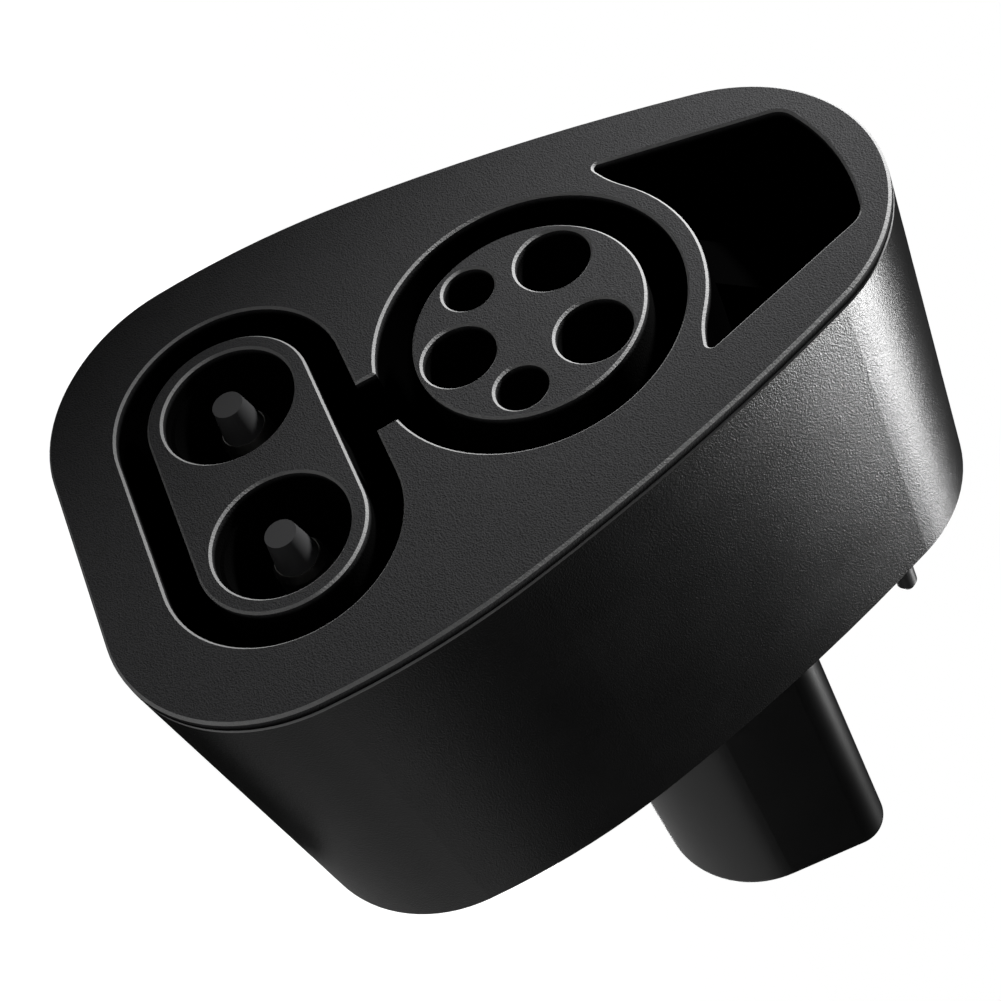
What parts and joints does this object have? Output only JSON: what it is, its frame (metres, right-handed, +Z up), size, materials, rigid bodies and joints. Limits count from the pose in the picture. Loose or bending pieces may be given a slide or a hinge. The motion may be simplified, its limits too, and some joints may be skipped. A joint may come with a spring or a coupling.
{
  "type": "dc charging adapter",
  "caption": "Hand-held DC charging adapter: combo inlet with five-hole AC boss, two-pin DC boss and latch pocket on the front, smooth five-contact plug nose and spring-loaded lock pin on the back.",
  "frame": {"origin": "centre of the bounding box on the floor, the part standing on its lower (DC) end", "axes": "+X to the right seen from the face, +Y from the face back along the plug nose, +Z up towards the latch pocket"},
  "size_m": [0.085, 0.1412, 0.125],
  "materials": {
    "face_plastic": "matte",
    "well_plastic": "matte",
    "insulator_plastic": "matte",
    "housing_plastic": "matte",
    "nose_plastic": "satin",
    "carrier_plastic": "matte",
    "cap_plastic": "matte",
    "seal_rubber": "matte",
    "sensor_epoxy": "satin",
    "wire_insulation": "satin",
    "fastener_steel": "satin",
    "copper": "satin",
    "spring_steel": "satin",
    "pin_plastic": "satin",
    "bush_polymer": "matte",
    "silver_plate": "satin"
  },
  "bodies": {
    "adapter_body": {"ac_contact_boss": "insulator_plastic", "busbar_left": "copper", "busbar_right": "copper", "contact_carrier": "carrier_plastic", "dc_contact_boss": "insulator_plastic", "dc_pin_cap_left": "cap_plastic", "dc_pin_cap_right": "cap_plastic", "dc_pin_left": "silver_plate", "dc_pin_nut_left": "fastener_steel", "dc_pin_nut_right": "fastener_steel", "dc_pin_right": "silver_plate", "dc_socket_left": "silver_plate", "dc_socket_nut_left": "fastener_steel", "dc_socket_nut_right": "fastener_steel", "dc_socket_right": "silver_plate", "earth_coupler": "silver_plate", "earth_pin": "silver_plate", "earth_socket": "silver_plate", "face_plate": "face_plastic", "housing_screw_1": "fastener_steel", "housing_screw_2": "fastener_steel", "housing_screw_3": "fastener_steel", "housing_screw_4": "fastener_steel", "housing_screw_5": "fastener_steel", "housing_screw_6": "fastener_steel", "housing_seal": "seal_rubber", "inlet_well": "well_plastic", "latch_pocket": "well_plastic", "lock_bush_front": "bush_polymer", "lock_bush_rear": "bush_polymer", "lock_seal": "seal_rubber", "lock_spring": "spring_steel", "nose_gasket": "seal_rubber", "nose_screw_1": "fastener_steel", "nose_screw_2": "fastener_steel", "nose_screw_3": "fastener_steel", "nose_screw_4": "fastener_steel", "nose_shell": "nose_plastic", "pilot_pin": "silver_plate", "pilot_socket": "silver_plate", "pilot_wire": "wire_insulation", "proximity_pin": "silver_plate", "proximity_socket": "silver_plate", "proximity_wire": "wire_insulation", "rear_housing": "housing_plastic", "socket_retainer": "carrier_plastic", "standoff_1": "housing_plastic", "standoff_2": "housing_plastic", "standoff_3": "housing_plastic", "standoff_4": "housing_plastic", "standoff_5": "housing_plastic", "standoff_6": "housing_plastic", "temp_sensor_left": "sensor_epoxy", "temp_sensor_right": "sensor_epoxy"},
    "lock_pin": {"lock_pin": "pin_plastic", "lock_collar": "spring_steel"}
  },
  "joints": [
    {"name": "lock_pin_press", "type": "slide", "parent": "adapter_body", "child": "lock_pin", "axis": [0, -1, 0], "range_m": [0, 0.007], "stiffness_N_per_m": 200, "springref_m": -0.01, "deforming": ["lock_spring"]}
  ]
}
